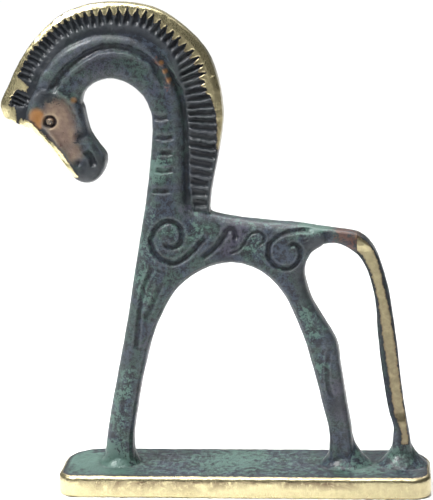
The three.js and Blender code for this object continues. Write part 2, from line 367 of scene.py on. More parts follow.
@dataclass
class Foot:
    """The spread of metal where a leg or the tail runs out into the plinth."""

    name: str
    x: float
    leg: float
    foot: float
    height: float
    lean: float
    depth: float
    rings: int = 9
    sides: int = 40
    sunk: float = 1.2
    hollow: float = 2.2

    def build(self, plinth: Plinth) -> bpy.types.Object:
        """Extrudes a round face upwards ring by ring, drawing it in along a hollow curve.

        Args:
            plinth: the block that the foot runs out into.

        Returns:
            The foot, sunk a little into the block.
        """
        bottom = (plinth.height - self.sunk) * MM
        select_nothing()
        bpy.ops.mesh.primitive_circle_add(vertices=self.sides, radius=self.foot * MM,
                                          fill_type="NGON", location=(self.x * MM, 0, bottom))
        foot = bpy.context.object
        foot.name = self.name
        bpy.ops.object.transform_apply(location=True, rotation=True, scale=True)
        bpy.ops.object.mode_set(mode="EDIT")
        bpy.ops.mesh.select_all(action="SELECT")
        bpy.ops.transform.resize(value=(1, self.depth, 1), center_override=(self.x * MM, 0, 0))
        bpy.ops.mesh.extrude_region_move(TRANSFORM_OT_translate={"value": (0, 0, self.sunk * MM)})
        radius = self.foot
        for ring in range(1, self.rings + 1):
            up = ring / self.rings
            rise = self.height / self.rings
            bpy.ops.mesh.extrude_region_move(
                TRANSFORM_OT_translate={"value": (self.lean / self.rings * MM, 0, rise * MM)})
            drawn = self.leg + (self.foot - self.leg) * (1 - up) ** self.hollow
            middle = (self.x + self.lean * up) * MM
            bpy.ops.transform.resize(value=(drawn / radius, drawn / radius, 1),
                                     center_override=(middle, 0, 0))
            radius = drawn
        close_and_face_out()
        return foot


FEET = (
    Foot("fore_foot", x=-32.6, leg=3.0, foot=5.6, height=6.5, lean=0.9, depth=1.08),
    Foot("hind_foot", x=26.0, leg=2.5, foot=6.8, height=9.0, lean=-1.0, depth=0.95),
    Foot("tail_foot", x=40.5, leg=1.8, foot=6.6, height=9.0, lean=-0.3, depth=0.9),
)


@dataclass(frozen=True)
class Stroke:
    """A line chased into a face, or raised on it where its depth is negative.

    The tool came from above, so the wall over the line slopes gently and the one below it is steep.
    """

    places: Places
    half_width: float = 0.7
    depth: float = 0.6
    lip: float = 0.08
    fade: float = 1.2
    lean: float = 0.35
    main_only: bool = False

    def sink(self, points: np.ndarray) -> np.ndarray:
        """Gives how far the stroke sinks the face at each point, less where its lip raises it."""
        line = smooth_line(self.places, max(12, 6 * len(self.places)))
        reach = 3 * self.half_width
        near = ((points > line.min(0) - reach) & (points < line.max(0) + reach)).all(1)
        sunk = np.zeros(len(points))
        if not near.any():
            return sunk
        some = wander(points[near], 0.06)
        distance, along, _ = nearest_on_line(line, some)
        size = np.linalg.norm(np.diff(line, axis=0), axis=1)
        run = np.concatenate([[0], np.cumsum(size)])
        over = (some[:, 1] - np.interp(along, run, line[:, 1])) / np.maximum(distance, 0.05)
        ends = ease(np.minimum(along, run[-1] - along), -0.3 * self.fade, self.fade)
        t = distance / (self.half_width * (1 + self.lean * np.clip(over, -1, 1)))
        cut = np.clip(1 - t ** 2, 0, 1) ** 0.8
        lip = np.clip(1 - ((t - 1.4) / 0.55) ** 2, 0, 1)
        sunk[near] = (self.depth * cut - self.lip * lip) * ends
        return sunk


@dataclass(frozen=True)
class Swell:
    """A soft rise of a face, or a hollow where its height is negative."""

    x: float
    z: float
    radius: float
    height: float
    main_only: bool = False

    def sink(self, points: np.ndarray) -> np.ndarray:
        """Gives how far the swell sinks the face at each point: below zero where it rises."""
        gap = np.hypot(points[:, 0] - self.x, points[:, 1] - self.z)
        return -self.height * np.exp(-(gap / self.radius) ** 2 * 2)


@dataclass(frozen=True)
class Eye:
    """A small ball in a round socket with a raised lid."""

    x: float = -47.3
    z: float = 95.9
    ball: float = 0.85
    socket: float = 1.6
    main_only: bool = False

    def sink(self, points: np.ndarray) -> np.ndarray:
        """Gives how far the eye sinks the face at each point, less where the lid raises it."""
        gap = np.hypot((points[:, 0] - self.x) * 0.95, points[:, 1] - self.z)
        ring = np.clip(1 - ((gap - (self.ball + self.socket) / 2) / 0.5) ** 2, 0, 1)
        ball = np.sqrt(np.clip(1 - (gap / (self.ball + 0.2)) ** 2, 0, 1))
        under = np.clip((self.z - points[:, 1] + self.x - points[:, 0]) / 2.5, 0, 1)
        lid = np.clip(1 - ((gap - self.socket - 0.35) / 0.45) ** 2, 0, 1) * under
        return 0.8 * ring ** 0.7 - 0.3 * ball - 0.2 * lid


SHOULDER_CURL = Stroke(
    ((-19.2, 64.9), (-18.5, 63.6), (-17, 63.3), (-15.4, 64.4), (-14.8, 66.6), (-15.6, 68.8),
     (-18.4, 70), (-21.3, 68.2), (-22.7, 65.2), (-22, 62), (-19.9, 60), (-16.8, 59.2),
     (-13.9, 60.8), (-11.4, 63.2), (-8.6, 66.4)), half_width=0.8, depth=0.8, lip=0.09)
RUMP_CURL = Stroke(
    ((12.0, 63.4), (13.4, 64.1), (14.7, 63), (14.9, 60.8), (13.2, 58.4), (10.6, 57.8), (8, 59.1),
     (6.8, 61.8), (7.3, 64.2), (9.2, 66), (12.6, 67.2), (18.2, 67.5)), half_width=0.72,
    depth=0.72, lip=0.09)
WAVES = (
    Stroke(((-9.9, 60.5), (-6.6, 63.1), (-4.5, 65.7), (-3.4, 67.6), (-2.1, 67.9), (-1.3, 66.7),
            (-1.6, 65.1)), half_width=0.85, depth=0.8, lip=0.09),
    Stroke(((-3.1, 61.6), (-0.7, 62.7), (0.7, 64.3), (1.5, 65.8), (3, 67), (4.9, 67.2),
            (5.9, 66.1), (5.6, 64.6), (4.1, 63.9)), half_width=0.5, depth=0.42, lip=0.12),
)
LEAF = (
    Stroke(((-22.5, 58.5), (-24, 55.2), (-25.2, 51.6), (-26, 47.6), (-26.5, 43.6), (-27.3, 37)),
           half_width=0.7, depth=0.55, lip=0.09, main_only=True),
    Stroke(((-20.8, 54.5), (-21.4, 52), (-22.3, 49.8), (-23.4, 47.4), (-24.9, 44.6)),
           half_width=0.8, depth=0.5, lip=0.12, main_only=True),
    Stroke(((-21.9, 58.2), (-20.6, 57.2), (-18.9, 56.5)), half_width=0.5, depth=0.32, lip=0.09,
           main_only=True),
)
TENDON = Stroke(((22.6, 37.6), (21.7, 34.9), (21.4, 31.5), (21.5, 28), (22.4, 24.4)),
                half_width=0.65, depth=0.4, lip=0.1, main_only=True)
CROUP_MARK = Stroke(((15.2, 65.2), (16.3, 65.4), (17.4, 66)), half_width=0.45, depth=0.28, lip=0.09,
                    main_only=True)
NECK_GROOVE = Stroke(
    ((-47.2, 102.8), (-45.4, 105.8), (-42.7, 108.9), (-40.1, 111), (-37, 112.9), (-33.8, 114.1),
     (-30.1, 114.3), (-26.7, 113.6), (-23.9, 112.2), (-21.8, 110.6), (-20.3, 108.7), (-18.8, 106.2),
     (-18, 104)), half_width=1.2, depth=0.95, lip=0.0, fade=3.0, lean=0.0)
MANE_VALLEY = Stroke(
    ((-18.6, 110), (-16.6, 106.4), (-15, 103.6), (-14.2, 101), (-13.6, 96.7), (-13.3, 92), (-13.5, 84),
     (-13.4, 78), (-13.2, 74.6)), half_width=0.95, depth=0.9, lip=0.0, fade=3.0, lean=0.0)
NECK_RIDGE = Stroke(
    ((-43.6, 105.4), (-41.9, 107.3), (-38, 110.4), (-34.8, 111.9), (-31.1, 112.5), (-26.7, 112),
     (-24.5, 110.8)), half_width=0.7, depth=-0.22, lip=0.0, fade=3.5, lean=0.0)
COPPER_RIDGE = Stroke(
    ((-22, 112), (-20.3, 110.8), (-18.9, 109.2), (-17.8, 107.3), (-17, 105), (-16.6, 102.6)),
    half_width=0.65, depth=-0.3, lip=0.0, fade=2.0, lean=0.0)
NECK_BARS = tuple(
    Stroke(((left, z + 0.75), ((left + right) / 2, z + 0.45), (right, z + 0.75)), half_width=0.8,
           depth=0.6, lip=0.14, fade=0.8, lean=0.5)
    for z, left, right in ((95.6, -21.4, -17.4), (90.6, -21.0, -16.3), (86.8, -20.2, -16.7),
                           (82.3, -21.3, -16.5), (77.1, -22.2, -17.6)))
CHEEK_RIDGE = Stroke(
    ((-50.6, 103.8), (-48.3, 103.5), (-46.2, 103.2), (-44.2, 102.4), (-42.3, 101.1), (-40.8, 99.2),
     (-39.9, 97), (-38.9, 94.6)), half_width=0.75, depth=-0.34, lip=0.06, fade=1.5, lean=0.0)
NOSE_GROOVE = Stroke(((-50.4, 94.4), (-48, 91.9), (-45.9, 88.9), (-43.7, 85.6), (-42.3, 83.9)),
                     half_width=0.75, depth=0.4, lip=0.1, fade=2.0)
MOUTH = Stroke(((-38.9, 88.6), (-37.8, 87.3), (-36.9, 85.8), (-36.6, 84.2)), half_width=0.95,
               depth=0.85, lip=0.09, lean=0.2)
SWELLS = (
    Swell(-18.3, 65.6, 4.6, 0.3), Swell(11.2, 62, 4.4, 0.3), Swell(-44.6, 98, 4.8, 0.35),
    Swell(-39.6, 92.3, 2.1, -0.85), Swell(-40.5, 85.4, 1.25, -0.8), Swell(-40.9, 85.1, 0.5, 0.25),
    Swell(-37.2, 82.4, 3.0, 0.35), Swell(-22.4, 53.6, 2.6, 0.2, main_only=True),
    Swell(21, 38.2, 3.0, 0.4), Swell(19.8, 56.8, 5, 0.2), Swell(-53.2, 99.8, 1.6, -0.35),
)
MARKS = (SHOULDER_CURL, RUMP_CURL, *WAVES, *LEAF, TENDON, CROUP_MARK, NECK_GROOVE, MANE_VALLEY,
         NECK_RIDGE, COPPER_RIDGE, *NECK_BARS, CHEEK_RIDGE, NOSE_GROOVE, MOUTH, Eye(), *SWELLS)


@dataclass
class Mane:
    """The flutes cut across the mane, and the rim beyond them that is ground bright.

    Its profiles run along the crest from the forelock's tip. Rim is how wide the ground rim is,
    and root how far in the flutes end. Breadth is half a flute's width, tip the share of it that
    a flute starts with, lean how much steeper its lower wall is, and fade where it begins to run
    out. Cant is how steeply the rim is ground, and bared how far the brass runs down in between.
    """

    half_thickness: float = 2.9
    depth: float = 0.95
    chamfer: float = 1.5
    forelock: tuple[float, float] = (4.1, 7.7)
    start: float = 12.6
    finish: float = 112.6
    jitter: float = 0.25
    seed: int = 7
    pitch: Profile = Profile((12, 25, 36, 44, 60, 112), (1.55, 1.75, 2.05, 2.25, 2.4, 2.3))
    rim: Profile = Profile((0, 8.5, 11, 19, 25, 40, 46, 54, 60, 67, 76, 79, 82, 86, 92, 97, 114),
                           (2.1, 2.1, 1.2, 0.9, 1.3, 1.3, 0.9, 0.7, 1.7, 2.2, 1.8, 3.2, 3.0, 1.9,
                            1.2, 0.5, 0.3))
    root: Profile = Profile((0, 10, 22, 36, 50, 65, 69, 76, 80, 90, 96, 103, 108, 112),
                            (6.4, 6.2, 6.2, 7.0, 7.0, 7.3, 8.6, 9.2, 8.7, 8.8, 8.0, 5.9, 4.6, 3.4))
    breadth: Profile = Profile((0, 8.5, 12, 30, 44, 60, 112), (0.55, 0.55, 0.76, 0.86, 1.05, 1.1, 1.1))
    tip: Profile = Profile((10, 30, 45, 76, 88), (0.85, 0.6, 0.25, 0.3, 0.95))
    cant: Profile = Profile((0, 30, 45), (0.62, 0.62, 0.5))
    lean: Profile = Profile((72, 88), (0, 0.35))
    fade: Profile = Profile((9, 12, 60, 88), (0.85, 0.5, 0.5, 0.85))
    bared: Profile = Profile((10, 30, 44, 76, 84), (0.3, 0.6, 2.0, 2.0, 0))
    tarnish: Profile = Profile((0, 48, 60, 76, 104), (0.05, 0.0, 0.3, 0.5, 0.85))
    crest: np.ndarray = field(default_factory=lambda: smooth_line(CREST, 240))

    def __post_init__(self) -> None:
        """Sets out the flutes, with the small unevenness of hand work."""
        chance = np.random.default_rng(self.seed)
        places = list(np.linspace(*self.forelock, 4))
        along = self.start
        while along < self.finish:
            places.append(along)
            along += self.pitch.at(along) + chance.uniform(-self.jitter, self.jitter)
        self.places = np.array(places)
        self.strengths = chance.uniform(0.8, 1.12, len(places))
        self.starts = chance.uniform(-0.7, 0.5, len(places))

    def heights(self, points: np.ndarray) -> tuple[np.ndarray, np.ndarray, np.ndarray]:
        """Works out the mane's face from where each point lies against the crest.

        Args:
            points: the X and Z of each point, in millimetres.

        Returns:
            How high the ground rim lets the face stand, how high the flutes let it stand, and how
            far each point lies inside the bared metal, which runs down between the arch's flutes.
        """
        distance, along, side = nearest_on_line(self.crest, wander(points, 0.05))
        after = np.clip(np.searchsorted(self.places, along), 1, len(self.places) - 1)
        before = after - 1
        nearer = np.where(along - self.places[before] < self.places[after] - along, before, after)
        past = along - self.places[nearer]
        rim, root = self.rim.at(along), self.root.at(along)
        distance = np.where(side > 0, 0, distance)
        canted = np.maximum(np.minimum(rim, self.chamfer) - distance, 0)
        ground = self.half_thickness - 0.03 - self.cant.at(along) * canted
        inward = distance - rim + self.starts[nearer] * 0.5
        deep = np.clip(inward / (root - rim), 0, 1)
        tip = self.tip.at(along)
        width = self.breadth.at(along) * (tip + (1.02 - tip) * ease(deep, 0, 0.5))
        lean = self.lean.at(along) * np.sign(past)
        cut = np.clip(1 - (past / (width * (1 - lean))) ** 2, 0, 1) ** 0.9
        last = self.fade.at(along)
        ends = ease(inward, -0.3, 0.9) * (1 - ease(deep, last, last + 0.3))
        fluted = self.half_thickness - self.depth * self.strengths[nearer] * cut * ends
        bare_tooth = (along > self.forelock[1] + 0.8) & (along < self.start - 1.0)
        fluted = np.where(bare_tooth, self.half_thickness, fluted)
        between = self.bared.at(along) * (1 - ease(cut, 0, 0.35))
        return ground, fluted, rim - distance + between

    def tab(self, points: np.ndarray) -> np.ndarray:
        """Gives how far each point lies inside the bared tooth between the forelock and the mane."""
        distance, along, _ = nearest_on_line(self.crest, points)
        sides = np.minimum(along - 8.6 - 0.12 * distance, 12.1 - 0.3 * distance - along)
        return np.minimum(sides, 4.9 - distance)

    def holds(self, points: np.ndarray) -> np.ndarray:
        """Tells which points lie over the mane rather than over the neck, the head or the back."""
        distance, along, side = nearest_on_line(self.crest, points)
        return (distance < self.root.at(along) + 0.4) & (points[:, 1] > 72.5) & (along < 113.4)


@dataclass
class Tail:
    """The flat ground along the hanging tail, canted where it meets the dark inner edge.

    Its profiles run up the height. Strip and border are how wide the dark metal is along the
    inner and the outer edge.
    """

    flat: float = 2.35
    low: float = 11.5
    high: float = 68.0
    front: float = 29.0
    strip: Profile = Profile((12, 19, 25, 35, 46, 53, 60, 65), (2.3, 1.2, 1.45, 1.45, 0.9, 0.55, 0.75, 1.1))
    border: Profile = Profile((12, 19, 25, 35, 46, 53, 60, 65), (0.5, 0.2, 0.25, 0.4, 0.6, 1.0, 0.5, 0.3))
    tarnish: Profile = Profile((12, 24, 40, 60), (1.0, 0.97, 0.93, 0.72))
    outer: np.ndarray = field(default_factory=lambda: smooth_line(TAIL_OUTER, 90))
    inner: np.ndarray = field(default_factory=lambda: smooth_line(TAIL_INNER, 90))

    def holds(self, points: np.ndarray) -> np.ndarray:
        """Tells which points lie on the hanging part of the tail, above its foot."""
        x, z = points.T
        return (x > self.front) & (z > self.low) & (z < self.high)

    def margins(self, points: np.ndarray) -> tuple[np.ndarray, np.ndarray]:
        """Gives how far each point lies inside the dark strip's edge and inside the outer edge."""
        uneven = wander(points, 0.09)
        levels = points[:, 1]
        return (nearest_on_line(self.inner, uneven)[0] - self.strip.at(levels),
                nearest_on_line(self.outer, uneven)[0] - self.border.at(levels))


@dataclass(frozen=True)
class Patch:
    """A place where the patina has more of one tint."""

    tint: Tint
    x: float
    z: float
    reach: float
    amount: float = 1.0
    y: float | None = None

    def weight(self, spots: np.ndarray) -> np.ndarray:
        """Gives the patch's strength at each spot."""
        gap = (spots[:, 0] - self.x) ** 2 + (spots[:, 2] - self.z) ** 2
        if self.y is not None:
            gap = gap + (spots[:, 1] - self.y) ** 2
        return self.amount * np.exp(-1.2 * gap / self.reach ** 2)


def patches(tint: Tint, *rows: tuple[float, ...]) -> tuple[Patch, ...]:
    """Lists patches of one tint from rows of X, Z, reach, amount and, on the plinth, Y."""
    return tuple(Patch(tint, *row) for row in rows)


PATCHES = (
    *patches(Tint.VERDIGRIS, (-21.2, 83.5, 4, 0.9), (-24.4, 72, 4, 0.5), (-25.3, 64, 4, 0.55),
             (-25.4, 56, 4, 0.6), (-24.4, 50, 3, 0.5), (-17.4, 66.9, 3, 0.35), (-11, 67.6, 4, 0.4),
             (2.8, 64.3, 4, 0.45), (17.5, 68, 3.4, 0.6), (21, 67.8, 2.2, 0.45), (-29.5, 30, 2.6, 0.5),
             (-29.8, 26, 2.2, 0.6), (-32.4, 24.6, 2, 0.7), (-32.8, 19, 3.4, 0.6), (-34.3, 10, 3.2, 0.6),
             (-34, 5.6, 6.5, 0.9, -4), (-42, 5.6, 7, 0.8, 1), (-3, 5.6, 10, 0.5, 2),
             (30, 5.6, 5, 0.45, -6), (15.9, 46.1, 3, 0.65), (17.6, 41, 3, 0.55), (19.6, 32.2, 3, 0.5),
             (37.4, 10, 2.6, 0.6)),
    *patches(Tint.VIOLET, (-1.2, 68, 4.5, 0.9), (-3.8, 63, 3.6, 0.7), (24.3, 27, 4, 0.8),
             (25.2, 20.5, 3.6, 0.9), (-25.4, 38, 3.2, 0.5), (-34, 108.5, 8, 0.55), (-13, 73, 4, 0.6),
             (-20, 103, 5, 0.3), (-27, 16, 3, 0.5), (-45, 117, 7, 0.4), (-30, 121, 8, 0.4),
             (-20, 5.6, 8, 0.6, 4), (14, 5.6, 8, 0.5, -2), (40, 5.6, 7, 0.6, 2)),
    # Soot and shade: partly dark patina on the mane, forelock and neck, partly painted shade along the
    # valley between neck and mane, under the belly, where the tail meets the back, in the eye, the dimple
    # and the mouth, under the muzzle and at the plinth's right end.
    *patches(Tint.SOOT_AND_SHADE, (-28.2, 34, 3, 0.4), (-26.6, 26.2, 2.6, 0.8), (-25.4, 41, 3.4, 0.35),
             (-4.1, 59.5, 4, 0.6), (-9.3, 55.2, 4, 0.6), (-18.4, 44.8, 4, 0.5), (24.6, 22, 4, 0.8),
             (24.6, 30, 3, 0.4), (-19, 79, 5, 0.35), (-19.5, 98, 5, 0.35), (-33, 110, 9, 0.3),
             (14.8, 56.5, 4, 0.6), (16.4, 52, 4, 0.6), (17.4, 64.2, 2.6, 0.9), (20.6, 65.2, 1.8, 0.7),
             (-38.6, 81.4, 3.6, 1.0), (-35.6, 85, 3.2, 1.0), (-38.2, 84, 2, 0.6),
             (-47.3, 95.9, 1.5, 0.7), (-49, 102.2, 2.8, 0.8), (-46, 101.8, 2, 0.6),
             (-39.7, 92.2, 2.2, 0.8), (-13.2, 98, 1.8, 0.9), (-12.7, 92, 1.8, 0.9),
             (-12.6, 86, 1.8, 0.9), (-13, 81, 1.8, 0.9), (-13.5, 76, 1.8, 0.9), (-55.4, 101.4, 3.2, 1.0),
             (-32, 119.5, 6, 0.5), (-47, 114, 6, 0.5), (-54, 107, 3, 0.5), (47, 5.6, 4, 0.8, -8)),
    *patches(Tint.COPPER, (25.8, 66.4, 3.2, 0.75), (28.6, 64.2, 2.6, 0.7), (-48, 91.6, 1.8, 0.75),
             (-45.6, 88.4, 1.8, 0.75), (-43.2, 84.8, 1.8, 0.8), (-17.8, 119.9, 3, 0.5),
             (-14.2, 116.6, 3, 0.6), (-11.3, 113.1, 2.6, 0.6), (-9.9, 109.6, 2.4, 0.5),
             (-8.2, 104, 2.4, 0.6), (-20, 110.6, 2, 0.6), (-17.2, 105, 2, 0.6)),
    # Amber and glint: the worn orange of the face, and painted orange highlights along the copper ridge,
    # the cheek ridge and the tail root.
    *patches(Tint.AMBER_AND_GLINT, (-50.6, 97.2, 2.4, 1.0), (-50.6, 94.6, 1.4, 0.8), (-41.2, 101.2, 1.2, 0.6),
             (-19.1, 110.3, 0.9, 0.7), (-18.2, 108.2, 0.9, 0.8), (-17.3, 106, 0.9, 0.7),
             (29.4, 66, 1.2, 0.6)),
    *patches(Tint.BLUSH, (-45.4, 97.6, 4.6, 0.9), (-44, 92.4, 4, 0.8), (-41.6, 87.4, 3, 0.6)),
)


@dataclass
class Casting:
    """The whole casting: forms run together, chased, ground and given their masks."""

    voxel: float = 0.25
    softening: float = 0.5
    softening_rounds: int = 7
    triangle_limit: int = 192000
    bulge_rounds: int = 9
    hollow_depth: float = 0.3
    rub_and_sheen_height: float = 0.14
    nose_band: float = 1.5
    plinth: Plinth = field(default_factory=Plinth)
    mane: Mane = field(default_factory=Mane)
    tail: Tail = field(default_factory=Tail)

    def build(self) -> bpy.types.Object:
        """Makes the casting from its forms and returns the finished piece."""
        forms = [plate.build() for plate in (BODY, MANE_PLATE, HEAD, TAIL_PLATE)]
        forms += [self.plinth.build(), *(foot.build(self.plinth) for foot in FEET)]
        piece = self._run_together(forms)
        LOG.info("cast: %d vertices", len(piece.data.vertices))
        self._roughen(piece)
        self._chase(piece)
        self._grind(piece)
        self._thin(piece)
        self._mask(piece)
        LOG.info("finished: %d faces", len(piece.data.polygons))
        return piece

    def _run_together(self, forms: list[bpy.types.Object]) -> bpy.types.Object:
        """Joins the forms into one skin and softens the places where they meet."""
        select_nothing()
        for form in forms:
            form.select_set(True)
        bpy.context.view_layer.objects.active = forms[0]
        bpy.ops.object.join()
        piece = bpy.context.object
        piece.name = "horse_casting"
        apply_modifier(piece, "REMESH", mode="VOXEL", voxel_size=self.voxel * MM)
        apply_modifier(piece, "SMOOTH", factor=self.softening, iterations=self.softening_rounds)
        return piece

    @staticmethod
    def _roughen(piece: bpy.types.Object) -> None:
        """Gives the skin the slow waves and the small lumps that sand casting leaves."""
        for name, size, height in (("waves", 5.0, 0.22), ("lumps", 1.3, 0.12), ("grit", 0.5, 0.06)):
            clouds = bpy.data.textures.new(name, "CLOUDS")
            clouds.noise_scale = size * MM
            clouds.noise_depth = 2
            apply_modifier(piece, "DISPLACE", texture=clouds, texture_coords="LOCAL",
                           strength=height * MM, mid_level=0.5)

    def _chase(self, piece: bpy.types.Object) -> None:
        """Sinks the marks and the mane's flutes into both faces."""
        spots, normals = read_mesh(piece)
        for face in Face:
            squareness = ease(normals[:, 1] * face.value, 0.15, 0.6)
            chosen = np.flatnonzero(squareness > 0)
            flat = spots[chosen][:, [0, 2]]
            sunk = np.zeros(len(chosen))
            for mark in MARKS:
                if face is Face.MAIN or not mark.main_only:
                    sunk += mark.sink(flat)
            spots[chosen, 1] -= face.value * sunk * squareness[chosen]
        height = np.abs(spots[:, 1])
        near = np.flatnonzero(self.mane.holds(spots[:, [0, 2]]) & (height < 3.3) & (height > 0.8))
        ground, fluted, _ = self.mane.heights(spots[near][:, [0, 2]])
        proud = height[near] - self.mane.half_thickness
        height[near] = np.minimum(height[near], np.minimum(ground, fluted + 0.06 * proud))
        spots[:, 1] = np.sign(spots[:, 1]) * height
        write_mesh(piece, spots)

    def _grind(self, piece: bpy.types.Object) -> None:
        """Cuts the tail's two broad faces and the plinth's sides and underside flat."""
        spots, _ = read_mesh(piece)
        x, y, z = spots.T
        tail = np.flatnonzero(self.tail.holds(spots[:, [0, 2]]))
        inside, outside = self.tail.margins(spots[tail][:, [0, 2]])
        fade = ease(z[tail], self.tail.low, self.tail.low + 9) * (1 - ease(z[tail], 62, 67))
        flat = self.tail.flat - 0.9 * np.maximum(-inside, 0) - 0.8 * np.maximum(-outside, 0)
        flat = flat + (1 - fade) * 2
        y[tail] = np.clip(y[tail], -flat, flat)
        low = z < self.plinth.height
        side = self.plinth.width / 2 - self.plinth.ground_side
        end = self.plinth.length / 2 - self.plinth.ground_end
        y[low] = np.clip(y[low], -side, side)
        x[low] = np.clip(x[low], -end, end)
        z[:] = np.maximum(z, 0)
        write_mesh(piece, spots)

    def _thin(self, piece: bpy.types.Object) -> None:
        """Takes out triangles where the skin is flat, down to the limit."""
        triangles = sum(len(face.vertices) - 2 for face in piece.data.polygons)
        if triangles > self.triangle_limit:
            spots, normals = read_mesh(piece)
            ground = self._ground(spots, normals)[0]
            kept = (np.abs(ground) < 0.6) & (spots[:, 2] > 3.4)
            loose = piece.vertex_groups.new(name="loose")
            loose.add(np.flatnonzero(~kept).tolist(), 1.0, "REPLACE")
            apply_modifier(piece, "DECIMATE", ratio=self.triangle_limit / triangles,
                           vertex_group=loose.name)
        spots, _ = read_mesh(piece)
        low, high = (np.array(corner) / MM for corner in CAD_BOX)
        write_mesh(piece, np.clip(spots, low, high))
        select_only(piece)
        bpy.ops.object.shade_smooth()

    def _mask(self, piece: bpy.types.Object) -> None:
        """Keeps where the metal is ground, hollow, rubbed, stained and tinted, for the finish; the rub mask
        and some tints also hold painted highlights and painted shade.
        """
        spots, normals = read_mesh(piece)
        for name, values in zip(("ground", "tarnish", "stain"), self._ground(spots, normals)):
            write_mask(piece, name, values)
        bulge = self._bulge(piece, spots, normals)
        write_mask(piece, "hollow", np.clip(-bulge / self.hollow_depth, 0, 1))
        # Rub and sheen: convex edges, where the patina wears thin and where a painted highlight lies along
        # them.
        write_mask(piece, "rub_and_sheen", np.clip(bulge / self.rub_and_sheen_height, 0, 1))
        for tint in Tint:
            left = np.ones(len(spots))
            for patch in PATCHES:
                if patch.tint is tint:
                    left *= 1 - np.minimum(patch.weight(spots), 1)
            # The whole mane takes more of the dark tint.
            if tint is Tint.SOOT_AND_SHADE:
                left[self.mane.holds(spots[:, [0, 2]])] *= 0.35
            write_mask(piece, tint.value, 1 - left)

    def _bulge(self, piece: bpy.types.Object, spots: np.ndarray, normals: np.ndarray) -> np.ndarray:
        """Measures how far each spot stands proud of the skin around it, below zero in a hollow."""
        edges = np.empty(len(piece.data.edges) * 2, int)
        piece.data.edges.foreach_get("vertices", edges)
        first, second = edges.reshape(-1, 2).T
        count = np.bincount(edges, minlength=len(spots))[:, None]
        even = spots.copy()
        for _ in range(self.bulge_rounds):
            total = np.zeros_like(even)
            for axis in range(3):
                total[:, axis] = (np.bincount(first, even[second, axis], len(spots))
                                  + np.bincount(second, even[first, axis], len(spots)))
            even = 0.3 * even + 0.7 * total / np.maximum(count, 1)
        return ((spots - even) * normals).sum(1)

    def _ground(self, spots: np.ndarray,
                normals: np.ndarray) -> tuple[np.ndarray, np.ndarray, np.ndarray]:
        """Works out where the metal is bared.

        Args:
            spots: the vertices, in millimetres.
            normals: their normals.

        Returns:
            How far inside the bared metal each spot lies, how tarnished it is there, and how stained.
        """
        x, y, z = spots.T
        flat = spots[:, [0, 2]]
        ground = np.full(len(spots), -3.0)
        # Outside the tail, mane and head the brass darkens along X as on the plinth: partly tarnish, partly
        # painted shade towards the right end.
        tarnish, stain = self.plinth.tarnish.at(x), np.zeros(len(spots))
        low = z < self.plinth.height + 0.3
        inset = self.plinth.inset(spots)
        ground[low] = np.maximum(1.05 - inset, 1.2 * (0.6 - z))[low]
        off_tide = np.abs(z - self.plinth.tide_height) / self.plinth.tide_width.at(x)
        line = np.clip(1 - off_tide, 0, 1) * ease(-x, -34, -24)
        stain[low] = (line * ease(0.9 - inset, 0, 0.4))[low]
        tail = np.flatnonzero(self.tail.holds(flat))
        inside, outside = self.tail.margins(flat[tail])
        reach = np.minimum(np.minimum(inside, outside), (z[tail] - self.tail.low) * 0.5)
        reach = np.minimum(reach, (x[tail] - 29.6 + 0.8 * (66 - z[tail])) * 0.4)
        ground[tail] = np.where(np.abs(y[tail]) > 1.2, reach, -0.3)
        tarnish[tail] = self.tail.tarnish.at(z[tail])
        mane = np.flatnonzero(self.mane.holds(flat) & (z > 80))
        bevel, fluted, reach = self.mane.heights(flat[mane])
        away = normals[mane, 1] ** 2 < 0.12
        reach = np.where(away, 0.6, np.minimum(reach, 2.2 * (fluted - bevel) + 0.4))
        distance, along, _ = nearest_on_line(self.mane.crest, flat[mane])
        fade = 1.1 - 2.6 * ease(along, 92, 104)
        low_corner = np.minimum(3.3 - along, -56.0 - flat[mane, 0])
        reach = np.maximum(np.minimum(reach, fade), np.minimum(self.mane.tab(flat[mane]), 0.6))
        ground[mane] = np.maximum(reach, np.where(distance < 3.5, low_corner, -3))
        between = np.clip((distance - self.mane.rim.at(along)) / 1.6, 0, 1) * (along > 14)
        tarnish[mane] = self.mane.tarnish.at(along) + 0.6 * between
        head = np.flatnonzero((x < -40.6) & (z < 96.2) & (z > 80))
        off_nose = nearest_on_line(smooth_line(NOSE_LINE, 60), wander(flat[head], 0.08))[0]
        nose = np.minimum(self.nose_band - off_nose, 0.8 * (z[head] - 81.5))
        ground[head] = np.maximum(ground[head], nose)
        tarnish[head] = 0.0
        return ground, tarnish, stain


